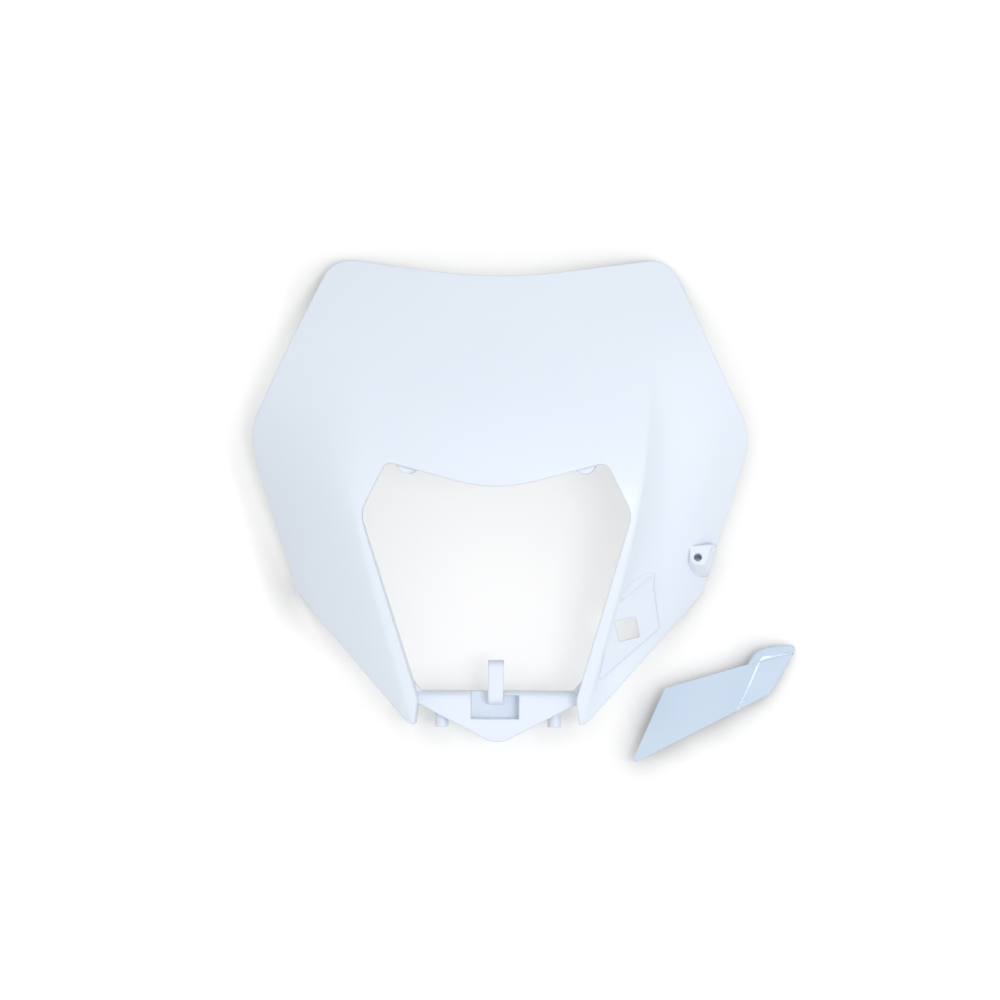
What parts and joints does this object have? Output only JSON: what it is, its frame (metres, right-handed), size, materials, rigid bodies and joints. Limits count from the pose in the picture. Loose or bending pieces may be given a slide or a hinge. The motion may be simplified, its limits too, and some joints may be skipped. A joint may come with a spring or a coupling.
{
  "type": "motorcycle headlight mask",
  "caption": "Moulded front mask of an off-road motorcycle with a large headlight opening, swept wings, a chin bar with a hook tab, and a loose cover plate for its brake hose channel.",
  "frame": {"origin": "on the plane that the rear rim lies on, in the mask's middle plane, below the middle of the headlight opening", "axes": "+Z out of the front of the mask, +Y up the mask towards its top edge, +X to the right as seen from the front"},
  "size_m": [0.3177, 0.2943, 0.0728],
  "materials": {
    "mask_plastic": "white polypropylene, satin moulded",
    "cover_plastic": "white polypropylene, glossy moulded"
  },
  "bodies": {
    "root": {"headlight_mask": "mask_plastic", "hose_guide_cover": "cover_plastic"}
  },
  "joints": []
}
